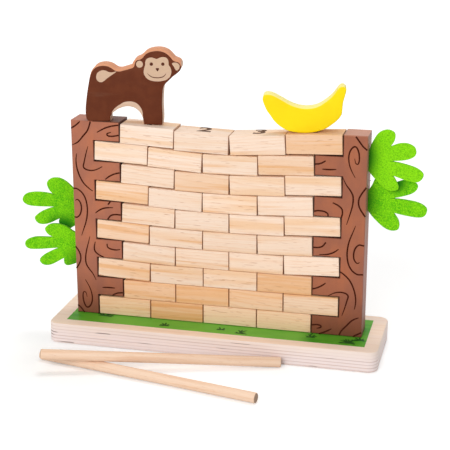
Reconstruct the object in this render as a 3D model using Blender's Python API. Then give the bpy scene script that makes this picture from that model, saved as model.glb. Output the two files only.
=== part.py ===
"""Monkey stacking game: a wall of wooden bricks held between two toothed trunks.

Frame: metres, +Z up, the origin under the middle of the base board, the players'
front side towards -Y. The wall stands across X, centred on Y = 0.
"""
import math

import bmesh
import bpy
from mathutils import Matrix, Vector
from mathutils.geometry import interpolate_bezier

# Clearances
SEAT_GAP = 0.0003        # between pieces that rest on or in each other
END_GAP = 0.0007         # at each end of a brick in its row, at half its height
NOTCH_PLAY = 0.0016      # how much higher a trunk notch is than a brick

# Bricks, laid in running bond
ROWS = 10                # an even number, so that both trunks are the same piece
BRICKS_PER_ROW = 4
BRICK_LENGTH = 0.04915
BRICK_HEIGHT = 0.0173
WALL_DEPTH = 0.0248      # depth of the bricks and of the trunks, along Y
BRICK_EASE = 0.0005

# Trunks, two like combs, the right one turned half round in the wall's plane
SPINE_WIDTH = 0.0209
TOOTH_ALLOWANCE = 0.0005  # how much higher a tooth is than a brick
TOOTH_SHORTFALL = 0.0003  # a tooth is this much shorter than half a brick
TRUNK_EASE = 0.0007

# Base board
BASE_THICKNESS = 0.0192
BASE_END_MARGIN = 0.0182   # beyond the trunks' outer sides
BASE_SIDE_MARGIN = 0.031   # in front of the wall and behind it
BASE_CORNER_RADIUS = 0.009
BASE_EASE = 0.0014

# Countersunk screws, from below through the base board into the trunks
SCREW_SPACING = 0.012
SCREW_LENGTH = 0.036
SCREW_SHANK_RADIUS = 0.002
SCREW_HEAD_RADIUS = 0.0038
SCREW_HEAD_HEIGHT = 0.0024
SCREW_POINT_LENGTH = 0.005
SCREW_SINK = 0.0006
SCREW_CROSS_WIDTH = 0.0009
SCREW_CROSS_DEPTH = 0.0011
SCREW_CROSS_SHARE = 0.6   # its half length, as a share of the head radius

# Felt leaves, each with its root in a slit in a trunk's outer side
FELT_THICKNESS = 0.003
SLIT_DEPTH = 0.004
LEAF_ROOT_HALF_HEIGHT = 0.009
LEAF_OFFSET = 0.0019       # from the middle of the wall's depth, to the front or the back
LEFT_LEAF_HEIGHTS = (0.0983, 0.0586)    # of the roots' middles above the trunk's foot
RIGHT_LEAF_HEIGHTS = (0.1597, 0.1237)
LEAF_SQUARE = 0.0099       # a square of the grid that the leaves' patterns are drawn on

# Monkey and banana, sawn from board
MONKEY_THICKNESS = 0.016
BANANA_THICKNESS = 0.015
FIGURE_EASE = 0.001
MONKEY_SQUARE = 0.01       # a square of the grid that the monkey's pattern is drawn on
BANANA_SQUARE = 0.01
MONKEY_INSET = 0.0173      # from the left trunk's outer side to the heel
MONKEY_OVERHANG = 0.002    # of the heel in front of the wall
MONKEY_TURN = math.radians(10)
BANANA_OFF_CENTRE = -0.0095  # from the middle of the last top brick
BANANA_TURN = math.radians(9)

# Push sticks, the upper one lying across the lower one
STICK_RADIUS = 0.0045
STICK_LENGTH = 0.2095
STICK_EASE = 0.0012
STICK_BOARD_GAP = 0.001        # from the upper stick's right end to the board's front
UPPER_STICK_END = 0.068        # how far right of the middle it ends
UPPER_STICK_HEADING = math.radians(16.4)
LOWER_STICK_HEADING = math.radians(-11.66)
UPPER_STICK_OVERHANG = 0.0502  # left of the crossing
LOWER_STICK_OVERHANG = 0.0594

# Sizes that follow from those above
NOTCH_HEIGHT = BRICK_HEIGHT + NOTCH_PLAY
TOOTH_HEIGHT = BRICK_HEIGHT + TOOTH_ALLOWANCE
TOOTH_PITCH = NOTCH_HEIGHT + TOOTH_HEIGHT
TOOTH_LENGTH = BRICK_LENGTH / 2 - TOOTH_SHORTFALL
TRUNK_HEIGHT = ROWS // 2 * TOOTH_PITCH
BRICK_PITCH = BRICK_LENGTH + END_GAP
ROW_OPENING = BRICKS_PER_ROW * BRICK_PITCH + END_GAP
HALF_SPAN = (2 * SPINE_WIDTH + ROW_OPENING + TOOTH_LENGTH) / 2
LEFT_NOTCH_END = -HALF_SPAN + SPINE_WIDTH
BASE_HALF_LENGTH = HALF_SPAN + BASE_END_MARGIN
BASE_HALF_WIDTH = WALL_DEPTH / 2 + BASE_SIDE_MARGIN
WALL_FOOT = BASE_THICKNESS + SEAT_GAP


def clear_scene():
    for thing in list(bpy.data.objects):
        bpy.data.objects.remove(thing, do_unlink=True)


def finish(name, colour, roughness):
    """A plain material for one kind of piece."""
    material = bpy.data.materials.new(name)
    material.use_nodes = True
    shader = material.node_tree.nodes["Principled BSDF"]
    shader.inputs["Base Color"].default_value = (*colour, 1)
    shader.inputs["Roughness"].default_value = roughness
    shader.inputs["Metallic"].default_value = 1.0 if name == "steel" else 0.0
    return material


def to_mesh(bm, name, smooth_angle=35):
    """Closes the bmesh, points its faces outwards and makes a mesh of it."""
    bmesh.ops.remove_doubles(bm, verts=bm.verts, dist=1e-6)
    bmesh.ops.recalc_face_normals(bm, faces=bm.faces)
    mesh = bpy.data.meshes.new(name)
    bm.to_mesh(mesh)
    bm.free()
    mesh.shade_smooth()
    mesh.set_sharp_from_angle(angle=math.radians(smooth_angle))
    return mesh


def place(name, mesh, material, location=(0, 0, 0), rotation=(0, 0, 0)):
    if not mesh.materials:
        mesh.materials.append(material)
    thing = bpy.data.objects.new(name, mesh)
    thing.location = location
    thing.rotation_euler = rotation
    bpy.context.scene.collection.objects.link(thing)
    return thing


def cut(thing, cutter):
    """Takes the cutter's bodies out of a piece."""
    cutter.hide_render = True
    cutter.display_type = "WIRE"
    modifier = thing.modifiers.new("cut " + cutter.name, "BOOLEAN")
    modifier.operation = "DIFFERENCE"
    modifier.solver = "EXACT"
    modifier.object = cutter


def smooth_run(points, steps=4, closed=False):
    """Points on a smooth curve that passes through the given ones."""
    knots = [Vector(point) for point in points]
    count = len(knots)

    def knot(index):
        return knots[index % count] if closed else knots[max(0, min(count - 1, index))]

    run = []
    for i in range(count if closed else count - 1):
        before, start, end, after = knot(i - 1), knot(i), knot(i + 1), knot(i + 2)
        lead = start + (end - before) / 6
        trail = end - (after - start) / 6
        run.extend(interpolate_bezier(start, lead, trail, end, steps + 1)[:-1])
    return run if closed else run + [knots[-1]]


def arc_run(centre, radii, start, end, steps):
    """Points on an arc of a circle or an ellipse, between two angles in degrees."""
    run = []
    for i in range(steps + 1):
        angle = math.radians(start + (end - start) * i / steps)
        run.append(Vector((centre[0] + radii[0] * math.cos(angle),
                           centre[1] + radii[1] * math.sin(angle))))
    return run


def sawn_board(outline, thickness, ease, segments=1):
    """A board sawn to an outline in X and Z, centred on Y = 0, with eased edges."""
    bm = bmesh.new()
    corners = [bm.verts.new((x, -thickness / 2, z)) for x, z in outline]
    front = bm.faces.new(corners)
    pushed = bmesh.ops.extrude_face_region(bm, geom=[front])["geom"]
    back = [item for item in pushed if isinstance(item, bmesh.types.BMVert)]
    bmesh.ops.translate(bm, verts=back, vec=(0, thickness, 0))
    if ease:
        rims = [edge for edge in bm.edges if abs(edge.verts[0].co.y - edge.verts[1].co.y) < 1e-7]
        bmesh.ops.bevel(bm, geom=rims, offset=ease, offset_type="OFFSET", segments=segments,
                        profile=0.5, affect="EDGES", clamp_overlap=True)
    return bm


def turned(profile, sides):
    """A solid turned about Z from a profile of radii and heights that ends on the axis."""
    bm = bmesh.new()
    verts = [bm.verts.new((radius, 0, height)) for radius, height in profile]
    edges = [bm.edges.new(pair) for pair in zip(verts, verts[1:])]
    bmesh.ops.spin(bm, geom=verts + edges, cent=(0, 0, 0), axis=(0, 0, 1),
                   angle=math.tau, steps=sides, use_merge=True)
    bmesh.ops.remove_doubles(bm, verts=bm.verts, dist=1e-6)
    return bm


def block(bm, low, high):
    """Adds a box between two corners to a bmesh."""
    size = Vector(high) - Vector(low)
    middle = (Vector(high) + Vector(low)) / 2
    bmesh.ops.create_cube(bm, size=1, matrix=Matrix.Translation(middle) @ Matrix.Diagonal((*size, 1)))


def seat(points, centre):
    """The line that a rigid piece rests on, as a point and a slope.

    Of all lines from a support left of the piece's centre to one right of it, it is the
    one that is highest below the centre.
    """
    left = [point for point in points if point[0] <= centre]
    right = [point for point in points if point[0] > centre]
    best = None
    for x0, z0 in left:
        for x1, z1 in right:
            slope = (z1 - z0) / (x1 - x0)
            height = z0 + slope * (centre - x0)
            if best is None or height > best[0]:
                best = (height, slope)
    return best


def notch_floor(row):
    """Height of the tooth top under a row's outer brick, above the trunks' feet."""
    whole = row // 2 * TOOTH_PITCH
    return whole if row % 2 == 0 else whole + TOOTH_HEIGHT


def row_stop(row):
    """What a row's first brick starts from: the left trunk's notch end or its tooth end."""
    return LEFT_NOTCH_END if row % 2 == 0 else LEFT_NOTCH_END + TOOTH_LENGTH


def top_of(brick, x):
    """Height of a laid brick's top face at x."""
    middle_x, middle_z, tilt = brick
    return middle_z + BRICK_HEIGHT / 2 / math.cos(tilt) + math.tan(tilt) * (x - middle_x)


def supports_below(row, start, end, lower_row):
    """Points that carry a brick between start and end: base, tooth tops and lower bricks."""
    if row == 0:
        return [(start, 0.0), (end, 0.0)]
    points = []
    floor = notch_floor(row)
    left_tooth = LEFT_NOTCH_END + TOOTH_LENGTH
    if start < left_tooth:
        points += [(start, floor), (left_tooth, floor)]
    if end > -left_tooth:
        points += [(-left_tooth, floor), (end, floor)]
    for brick in lower_row:
        low = max(start, brick[0] - BRICK_LENGTH / 2)
        high = min(end, brick[0] + BRICK_LENGTH / 2)
        if low < high:
            points += [(low, top_of(brick, low)), (high, top_of(brick, high))]
    return points


def hold_in_notch(row, start, end, height, slope):
    """Keeps a tipping outer brick's far end clear of the notch's upper side.

    The brick pivots on the tooth's end until its outer upper edge meets the tooth above,
    and then it hangs there, above the brick below. The one in the open top notch is
    wedged against its neighbour when it has tipped as far.
    """
    tooth_end = LEFT_NOTCH_END + TOOTH_LENGTH
    steepest = (NOTCH_PLAY - 2 * SEAT_GAP) / (TOOTH_LENGTH - END_GAP)
    floor = notch_floor(row)
    middle = (start + end) / 2
    if start < tooth_end and slope < -steepest:
        return floor - steepest * (middle - tooth_end), -steepest
    if end > -tooth_end and slope > steepest:
        return floor + steepest * (middle + tooth_end), steepest
    return height, slope


def spread(row, slopes):
    """Middles of a row's bricks, with the same gap between all their nearest corners."""
    leans = [0] + [BRICK_HEIGHT / 2 * slope for slope in slopes] + [0]
    needs = [abs(after - before) for before, after in zip(leans, leans[1:])]
    gap = END_GAP - sum(needs) / len(needs)
    middles = []
    end = row_stop(row)
    for need in needs[:-1]:
        middles.append(end + need + gap + BRICK_LENGTH / 2)
        end = middles[-1] + BRICK_LENGTH / 2
    return middles


def lay_bricks():
    """Middle and tilt of each brick, row by row from the base board up."""
    rows = []
    for row in range(ROWS):
        seats = []
        for column in range(BRICKS_PER_ROW):
            start = row_stop(row) + END_GAP + column * BRICK_PITCH
            end = start + BRICK_LENGTH
            middle = (start + end) / 2
            points = supports_below(row, start, end, rows[-1] if rows else [])
            height, slope = seat(points, middle)
            if row > 0:
                height, slope = hold_in_notch(row, start, end, height, slope)
            seats.append((middle, height, slope))
        laid = []
        for x, (middle, height, slope) in zip(spread(row, [slope for _, _, slope in seats]), seats):
            tilt = math.atan(slope)
            lift = SEAT_GAP + BRICK_HEIGHT / 2 / math.cos(tilt)
            laid.append((x, height + slope * (x - middle) + lift, tilt))
        rows.append(laid)
    return rows


def build_bricks(rows, pine):
    bm = bmesh.new()
    block(bm, (-BRICK_LENGTH / 2, -WALL_DEPTH / 2, -BRICK_HEIGHT / 2),
          (BRICK_LENGTH / 2, WALL_DEPTH / 2, BRICK_HEIGHT / 2))
    bmesh.ops.bevel(bm, geom=list(bm.edges), offset=BRICK_EASE, offset_type="OFFSET",
                    segments=1, profile=0.5, affect="EDGES")
    mesh = to_mesh(bm, "brick")
    for row, laid in enumerate(rows, start=1):
        for column, (x, z, tilt) in enumerate(laid, start=1):
            place(f"brick_r{row:02d}_c{column}", mesh, pine, (x, 0, WALL_FOOT + z), (0, -tilt, 0))


def comb_outline():
    """Outline of the left trunk, from its inner upright at x = 0."""
    outline = [(-SPINE_WIDTH, 0)]
    for tooth in range(ROWS // 2):
        foot = tooth * TOOTH_PITCH
        outline += [(0, foot), (0, foot + NOTCH_HEIGHT),
                    (TOOTH_LENGTH, foot + NOTCH_HEIGHT), (TOOTH_LENGTH, foot + TOOTH_PITCH)]
    return outline + [(-SPINE_WIDTH, TRUNK_HEIGHT)]


# Side, root height, whether the leaf is the front one, and its four fingers, from the
# topmost down, as points in squares: reach from the trunk and height above the root
LEAVES = {
    "leaf_left_upper": (-1, LEFT_LEAF_HEIGHTS[0], False, (
        ((0.03, 1.30), (0.51, 1.75), (1.16, 2.34), (1.90, 2.67), (2.71, 2.58), (3.08, 2.10),
         (2.80, 1.38), (2.31, 1.02)),
        ((2.31, 1.02), (3.22, 1.17), (4.35, 1.18), (5.25, 0.94), (5.53, 0.36), (5.11, -0.07),
         (4.10, -0.18), (2.27, -0.11)),
        ((2.27, -0.11), (3.04, -0.35), (3.88, -0.76), (4.42, -1.30), (4.06, -1.86),
         (3.17, -1.83), (1.98, -1.25)),
        ((1.98, -1.25), (2.06, -1.60), (1.86, -2.06), (1.40, -2.27), (0.92, -2.12),
         (0.50, -1.85), (0.03, -1.58)))),
    "leaf_left_lower": (-1, LEFT_LEAF_HEIGHTS[1], True, (
        ((0.03, 1.50), (0.59, 1.73), (1.20, 2.13), (2.07, 2.34), (2.89, 2.22), (3.32, 1.78),
         (3.00, 1.24), (2.38, 0.98)),
        ((2.38, 0.98), (3.27, 0.96), (4.35, 0.89), (5.18, 0.56), (5.33, 0.04), (4.92, -0.29),
         (3.83, -0.25), (1.92, 0.01)),
        ((1.92, 0.01), (2.76, -0.37), (3.67, -0.92), (3.98, -1.40), (3.62, -1.80),
         (2.82, -1.73), (1.55, -0.99)),
        ((1.55, -0.99), (1.57, -1.30), (1.47, -1.60), (1.12, -1.69), (0.53, -1.48),
         (0.03, -1.22)))),
    "leaf_right_upper": (1, RIGHT_LEAF_HEIGHTS[0], True, (
        ((0.03, 1.05), (0.19, 1.56), (0.73, 2.49), (1.47, 2.84), (2.12, 2.60), (2.15, 1.95),
         (1.83, 1.38)),
        ((1.83, 1.38), (2.57, 1.70), (3.35, 1.72), (3.93, 1.38), (3.97, 0.73), (3.16, 0.29),
         (1.73, 0.10)),
        ((1.73, 0.10), (2.87, -0.04), (4.17, -0.39), (4.76, -0.95), (4.30, -1.58),
         (3.31, -1.51), (2.12, -1.15)),
        ((2.12, -1.15), (2.53, -1.84), (2.62, -2.34), (1.98, -2.55), (1.29, -2.24),
         (0.53, -1.49), (0.03, -0.93)))),
    "leaf_right_lower": (1, RIGHT_LEAF_HEIGHTS[1], False, (
        ((0.03, 0.93), (0.28, 1.35), (0.66, 2.18), (1.32, 2.58), (1.92, 2.38), (2.00, 1.90),
         (1.85, 1.40)),
        ((1.85, 1.40), (2.49, 1.80), (3.20, 2.03), (4.00, 1.88), (4.29, 1.46), (3.86, 0.91),
         (2.81, 0.50), (1.90, 0.27)),
        ((1.90, 0.27), (2.97, 0.27), (4.43, 0.07), (5.14, -0.40), (4.98, -1.05),
         (4.34, -1.24), (3.19, -1.14), (2.26, -0.97)),
        ((2.26, -0.97), (2.75, -1.70), (2.76, -2.44), (2.12, -2.63), (1.38, -2.33),
         (0.50, -1.54), (0.03, -0.95)))),
}
FINGER_STEPS = 4


def leaf_outline(fingers):
    """Fingers side by side, with a root for the slit in the trunk."""
    outline = [point * LEAF_SQUARE for finger in fingers
               for point in smooth_run(finger, FINGER_STEPS)[:-1]]
    outline.append(Vector(fingers[-1][-1]) * LEAF_SQUARE)
    root = SLIT_DEPTH - SEAT_GAP
    return outline + [(SEAT_GAP, -LEAF_ROOT_HALF_HEIGHT), (-root, -LEAF_ROOT_HALF_HEIGHT),
                      (-root, LEAF_ROOT_HALF_HEIGHT), (SEAT_GAP, LEAF_ROOT_HALF_HEIGHT)]


def build_leaves(felt):
    for name, (side, root_height, in_front, fingers) in LEAVES.items():
        outline = [(side * x, z) for x, z in leaf_outline(fingers)]
        mesh = to_mesh(sawn_board(outline, FELT_THICKNESS, 0), name)
        depth = -LEAF_OFFSET if in_front else LEAF_OFFSET
        place(name, mesh, felt, (side * HALF_SPAN, depth, WALL_FOOT + root_height))


def slit_cutter():
    """The four slits that hold the leaves' roots."""
    bm = bmesh.new()
    half_height = LEAF_ROOT_HALF_HEIGHT + SEAT_GAP
    half_width = FELT_THICKNESS / 2 + SEAT_GAP
    for side, root_height, in_front, _ in LEAVES.values():
        depth = -LEAF_OFFSET if in_front else LEAF_OFFSET
        ends = sorted((side * (HALF_SPAN - SLIT_DEPTH), side * (HALF_SPAN + SLIT_DEPTH)))
        middle = WALL_FOOT + root_height
        block(bm, (ends[0], depth - half_width, middle - half_height),
              (ends[1], depth + half_width, middle + half_height))
    return place("slit_cutter", to_mesh(bm, "slit_cutter"), finish("cutter", (1, 0, 0), 0.5))


def screw_profile(clearance=0.0):
    """Radii and heights of a countersunk screw, point up, or of the hole that it fills."""
    head = SCREW_HEAD_RADIUS + clearance
    shank = SCREW_SHANK_RADIUS + clearance
    mouth = -SCREW_SINK * 2 if clearance else 0.0
    end = SCREW_LENGTH + clearance
    return [(0, mouth), (head, mouth), (head, clearance), (shank, SCREW_HEAD_HEIGHT + clearance),
            (shank, end - SCREW_POINT_LENGTH), (0, end)]


def screw_places():
    middle = HALF_SPAN - SPINE_WIDTH / 2
    for side, x in (("left", -middle), ("right", middle)):
        for face, y in (("front", -SCREW_SPACING / 2), ("back", SCREW_SPACING / 2)):
            yield f"screw_{side}_{face}", (x, y, SCREW_SINK)


def recess_outline():
    """The cross in a screw's head."""
    arm, half = SCREW_HEAD_RADIUS * SCREW_CROSS_SHARE, SCREW_CROSS_WIDTH / 2
    quarter = [(arm, -half), (arm, half), (half, half)]
    turns = [Matrix.Rotation(math.pi / 2 * turn, 2) for turn in range(4)]
    return [turn @ Vector(point) for turn in turns for point in quarter]


def build_screws(steel):
    """Four screws with a cross recess in the head."""
    mesh = to_mesh(turned(screw_profile(), 16), "screw")
    recess = sawn_board(recess_outline(), 2 * SCREW_CROSS_DEPTH, 0)
    bmesh.ops.rotate(recess, verts=recess.verts, cent=(0, 0, 0),
                     matrix=Matrix.Rotation(math.pi / 2, 3, "X"))
    recess_mesh = to_mesh(recess, "screw_recess")
    for name, location in screw_places():
        screw = place(name, mesh, steel, location)
        cut(screw, place("recess_" + name, recess_mesh, steel, location))


def screw_hole_cutter():
    bm = bmesh.new()
    for _, location in screw_places():
        hole = turned(screw_profile(SEAT_GAP), 16)
        bmesh.ops.translate(hole, verts=hole.verts, vec=location)
        part = bpy.data.meshes.new("hole")
        hole.to_mesh(part)
        hole.free()
        bm.from_mesh(part)
        bpy.data.meshes.remove(part)
    return place("screw_hole_cutter", to_mesh(bm, "screw_hole_cutter"), finish("cutter", (1, 0, 0), 0.5))


def build_trunks(painted, cutters):
    """The comb, and the same comb turned half round about the middle of the wall."""
    mesh = to_mesh(sawn_board(comb_outline(), WALL_DEPTH, TRUNK_EASE), "trunk")
    left = place("left_trunk", mesh, painted, (LEFT_NOTCH_END, 0, WALL_FOOT))
    right = place("right_trunk", mesh, painted, (-LEFT_NOTCH_END, 0, WALL_FOOT + TRUNK_HEIGHT),
                  (0, math.pi, 0))
    for trunk in (left, right):
        for cutter in cutters:
            cut(trunk, cutter)


def build_base(plywood, holes):
    radius = BASE_CORNER_RADIUS
    outline = []
    for quarter, (x, y) in enumerate(((1, 1), (-1, 1), (-1, -1), (1, -1))):
        centre = (x * (BASE_HALF_LENGTH - radius), y * (BASE_HALF_WIDTH - radius))
        outline += arc_run(centre, (radius, radius), 90 * quarter, 90 * quarter + 90, 6)
    bm = sawn_board(outline, BASE_THICKNESS, BASE_EASE, segments=2)
    bmesh.ops.rotate(bm, verts=bm.verts, cent=(0, 0, 0), matrix=Matrix.Rotation(math.pi / 2, 3, "X"))
    bmesh.ops.translate(bm, verts=bm.verts, vec=(0, 0, BASE_THICKNESS / 2))
    cut(place("base_board", to_mesh(bm, "base_board", 50), plywood), holes)


# The monkey's pattern, on all fours and looking back at the players, in squares
HIND_FOOT = (0.06, 2.0)
FRONT_FOOT = (4.97, 6.60)
MONKEY_BACK = ((-0.08, 0.08), (-0.17, 0.35), (-0.20, 0.85), (-0.16, 1.47), (0.00, 2.57),
               (0.21, 3.66), (0.32, 4.12), (0.46, 4.50), (0.66, 4.78), (0.91, 4.97),
               (1.24, 5.07), (1.59, 5.10), (1.95, 5.05), (2.23, 4.93), (2.47, 4.77),
               (2.68, 4.66), (2.93, 4.63), (3.17, 4.68), (3.68, 4.84), (4.06, 4.98))
MONKEY_HEAD = ((4.10, 5.22), (4.23, 5.46), (4.43, 5.63), (4.70, 5.74), (4.92, 5.90),
               (5.14, 6.12), (5.43, 6.31), (5.80, 6.42), (6.31, 6.47), (6.76, 6.41),
               (7.13, 6.25), (7.41, 6.02), (7.60, 5.80), (7.75, 5.65), (7.92, 5.56),
               (8.12, 5.49), (8.28, 5.34), (8.36, 5.14), (8.37, 4.93), (8.30, 4.71),
               (8.15, 4.50), (7.91, 4.29), (7.60, 4.05), (7.17, 3.64), (6.95, 3.42),
               (6.80, 3.22), (6.72, 2.95), (6.67, 2.52), (6.62, 1.70), (6.64, 0.87),
               (6.65, 0.32), (6.63, -0.02))
MONKEY_ARCH = ((4.93, 0.02), (4.88, 0.30), (4.79, 0.57), (4.59, 0.90), (4.32, 1.14),
               (4.06, 1.28), (3.72, 1.35), (3.38, 1.34), (3.04, 1.25), (2.69, 1.10),
               (2.41, 0.91), (2.16, 0.70), (2.02, 0.48), (1.98, 0.25))


def monkey_outline(toe_heights):
    """From the heel over the tail, the back, the head and the far ear, down the chest to the
    front foot, whose two ends have the given heights, and back through the arch.
    """
    toes = [Vector(toe) for toe in zip(FRONT_FOOT, toe_heights)]
    return ([Vector((HIND_FOOT[0], 0))] + smooth_run(MONKEY_BACK, 2)
            + smooth_run(MONKEY_HEAD, 2) + [toes[1], toes[0]]
            + smooth_run(MONKEY_ARCH, 2) + [Vector((HIND_FOOT[1], 0))])


def banana_outline():
    """The banana from its side, in squares, resting on its belly at (0, 0)."""
    return smooth_run([(0.00, 0.00), (-0.85, 0.08), (-1.50, 0.24), (-1.91, 0.45),
                       (-2.33, 0.77), (-2.68, 1.14), (-2.96, 1.58), (-3.25, 2.01),
                       (-3.44, 2.45), (-3.60, 3.00), (-3.47, 3.39), (-3.10, 3.47),
                       (-2.59, 3.31), (-1.83, 2.86), (-1.42, 2.61), (-0.94, 2.38),
                       (-0.48, 2.23), (-0.02, 2.16), (0.45, 2.16), (0.92, 2.24),
                       (1.34, 2.41), (1.75, 2.67), (2.17, 2.99), (2.53, 3.35),
                       (2.91, 3.84), (3.24, 3.99), (3.52, 3.76), (3.48, 3.36),
                       (3.26, 2.64), (3.18, 2.05), (3.09, 1.50), (2.70, 1.02),
                       (2.10, 0.56), (1.65, 0.31), (0.85, 0.07)], 2, closed=True)


def sawn_figure(name, pattern, square, thickness):
    outline = [point * square for point in pattern]
    return to_mesh(sawn_board(outline, thickness, FIGURE_EASE), name)


def build_monkey(rows, painted):
    """The hind foot stands on the left trunk, and the front foot, sawn so much lower, on
    the first top brick.
    """
    origin = -HALF_SPAN + MONKEY_INSET
    back = origin - MONKEY_THICKNESS * math.sin(MONKEY_TURN)
    toe_heights = []
    for toe in FRONT_FOOT:
        top = top_of(rows[-1][0], back + toe * MONKEY_SQUARE * math.cos(MONKEY_TURN))
        toe_heights.append((top - TRUNK_HEIGHT) / MONKEY_SQUARE)
    mesh = sawn_figure("monkey", monkey_outline(toe_heights), MONKEY_SQUARE, MONKEY_THICKNESS)
    deep = Vector((-math.sin(MONKEY_TURN), math.cos(MONKEY_TURN), 0)) * MONKEY_THICKNESS / 2
    heel = Vector((origin, -WALL_DEPTH / 2 - MONKEY_OVERHANG, WALL_FOOT + TRUNK_HEIGHT + SEAT_GAP))
    place("monkey", mesh, painted, heel + deep, (0, 0, MONKEY_TURN))


def build_banana(rows, yellow):
    mesh = sawn_figure("banana", banana_outline(), BANANA_SQUARE, BANANA_THICKNESS)
    last = rows[-1][-1]
    x = last[0] + BANANA_OFF_CENTRE
    place("banana", mesh, yellow, (x, 0, WALL_FOOT + top_of(last, x) + SEAT_GAP),
          (0, -last[2], BANANA_TURN))


def stick_mesh():
    """A dowel along X with rounded ends, from its left end at x = 0."""
    profile = [(0, 0), (STICK_RADIUS - STICK_EASE, 0), (STICK_RADIUS, STICK_EASE),
               (STICK_RADIUS, STICK_LENGTH - STICK_EASE),
               (STICK_RADIUS - STICK_EASE, STICK_LENGTH), (0, STICK_LENGTH)]
    bm = turned(profile, 24)
    bmesh.ops.rotate(bm, verts=bm.verts, cent=(0, 0, 0), matrix=Matrix.Rotation(math.pi / 2, 3, "Y"))
    return to_mesh(bm, "push_stick", 25)


def heading_way(heading):
    return Vector((math.cos(heading), math.sin(heading), 0))


def build_sticks(beech):
    """The lower stick lies on the table, the upper one on it and on the table."""
    mesh = stick_mesh()
    reach = STICK_LENGTH - UPPER_STICK_OVERHANG
    slope = math.asin((2 * STICK_RADIUS + SEAT_GAP) / reach)
    upper_way = heading_way(UPPER_STICK_HEADING)
    tip = Vector((UPPER_STICK_END, -BASE_HALF_WIDTH - STICK_BOARD_GAP - STICK_RADIUS * upper_way.x, 0))
    upper_end = tip - upper_way * STICK_LENGTH * math.cos(slope)
    upper_end.z = STICK_RADIUS + SEAT_GAP + STICK_LENGTH * math.sin(slope)
    place("upper_push_stick", mesh, beech, upper_end, (0, slope, UPPER_STICK_HEADING))
    crossing = tip - upper_way * reach * math.cos(slope)
    lower_end = crossing - heading_way(LOWER_STICK_HEADING) * LOWER_STICK_OVERHANG
    lower_end.z = STICK_RADIUS + SEAT_GAP
    place("lower_push_stick", mesh, beech, lower_end, (0, 0, LOWER_STICK_HEADING))


def build():
    clear_scene()
    pine = finish("pine", (0.87, 0.68, 0.47), 0.55)
    bark = finish("bark_paint", (0.41, 0.15, 0.085), 0.5)
    plywood = finish("plywood", (0.82, 0.68, 0.50), 0.5)
    felt = finish("felt", (0.12, 0.55, 0.01), 0.95)
    holes = screw_hole_cutter()
    build_base(plywood, holes)
    build_trunks(bark, (slit_cutter(), holes))
    build_screws(finish("steel", (0.56, 0.55, 0.53), 0.35))
    build_leaves(felt)
    rows = lay_bricks()
    build_bricks(rows, pine)
    build_monkey(rows, finish("monkey_paint", (0.15, 0.035, 0.018), 0.5))
    build_banana(rows, finish("banana_paint", (0.95, 0.75, 0.01), 0.4))
    build_sticks(finish("beech", (0.80, 0.55, 0.33), 0.55))


build()
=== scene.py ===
from math import atan2, cos, pi, radians, sin
from random import Random

import bmesh
import bpy
import numpy as np
from mathutils import Euler, Matrix, Vector
from mathutils.geometry import interpolate_bezier


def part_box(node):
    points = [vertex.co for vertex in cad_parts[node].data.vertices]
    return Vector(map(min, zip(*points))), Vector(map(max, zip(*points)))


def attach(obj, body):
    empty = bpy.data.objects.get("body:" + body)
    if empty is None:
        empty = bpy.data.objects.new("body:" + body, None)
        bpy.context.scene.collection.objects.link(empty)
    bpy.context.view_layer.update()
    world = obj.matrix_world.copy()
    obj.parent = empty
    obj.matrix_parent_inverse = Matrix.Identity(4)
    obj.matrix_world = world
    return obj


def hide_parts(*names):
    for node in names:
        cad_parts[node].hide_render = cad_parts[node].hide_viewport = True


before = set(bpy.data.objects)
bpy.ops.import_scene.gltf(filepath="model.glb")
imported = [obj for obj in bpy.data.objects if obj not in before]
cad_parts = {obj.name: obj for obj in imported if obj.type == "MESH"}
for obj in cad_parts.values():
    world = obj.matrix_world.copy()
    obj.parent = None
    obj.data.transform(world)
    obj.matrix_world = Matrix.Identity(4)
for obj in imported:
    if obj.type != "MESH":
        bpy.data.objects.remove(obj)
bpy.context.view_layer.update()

scene = bpy.context.scene
mm = 0.001


def linked(name, data):
    thing = bpy.data.objects.new(name, data)
    scene.collection.objects.link(thing)
    return thing


def meshOf(name, bm):
    mesh = bpy.data.meshes.new(name)
    bm.to_mesh(mesh)
    bm.free()
    return mesh


def block(size):
    bm = bmesh.new()
    bmesh.ops.create_cube(bm, size=1)
    bmesh.ops.scale(bm, vec=size, verts=bm.verts)
    return bm


def bevelled(bm, edges, offset, segments, clamp=False):
    bmesh.ops.bevel(bm, geom=edges, offset=offset, offset_type="OFFSET", segments=segments, profile=0.5,
                    affect="EDGES", material=-1, clamp_overlap=clamp)


# camera, floor and light
photoCamera = {
    "place": (0.25905, -1.03182, 0.45198),
    "turn": (72.216, 0.051, 13.784),  # degrees about X, Y and Z
    "lens": 99.45,
    "sensor": 36,
    "nearest": 0.05,
}

studio = {
    "floorSize": 7,
    "floorHeight": -0.1 * mm,
    "floorTone": 0.86,
    "glowFrom": (-0.118, -0.096),  # the floor is brightened for the camera from here on
    "glows": [(0.03, 0.12, 0.2, 0.33), (0.4, 1.6, 0, 0.3)],
    "skyStrength": 0.48,
    # place, width and power of each lamp, and where they are turned to
    "lamps": {"keySoftbox": ((-0.3, -2.25, 1.3), 1.6, 32), "topSoftbox": ((0.1, 0.55, 2.1), 0.8, 13)},
    "lampAim": (0, 0, 0.1),
}


def makeCamera():
    data = bpy.data.cameras.new("photoCamera")
    data.lens = photoCamera["lens"]
    data.sensor_width = photoCamera["sensor"]
    data.clip_start = photoCamera["nearest"]
    camera = linked("photoCamera", data)
    camera.location = photoCamera["place"]
    camera.rotation_euler = [radians(turn) for turn in photoCamera["turn"]]
    scene.camera = camera


def makeLamp(name, place, size, power):
    data = bpy.data.lights.new(name, "AREA")
    data.shape = "DISK"
    data.size = size
    data.energy = power
    lamp = linked(name, data)
    lamp.location = place
    way = Vector(studio["lampAim"]) - Vector(place)
    lamp.rotation_euler = way.to_track_quat("-Z", "Y").to_euler()


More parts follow.
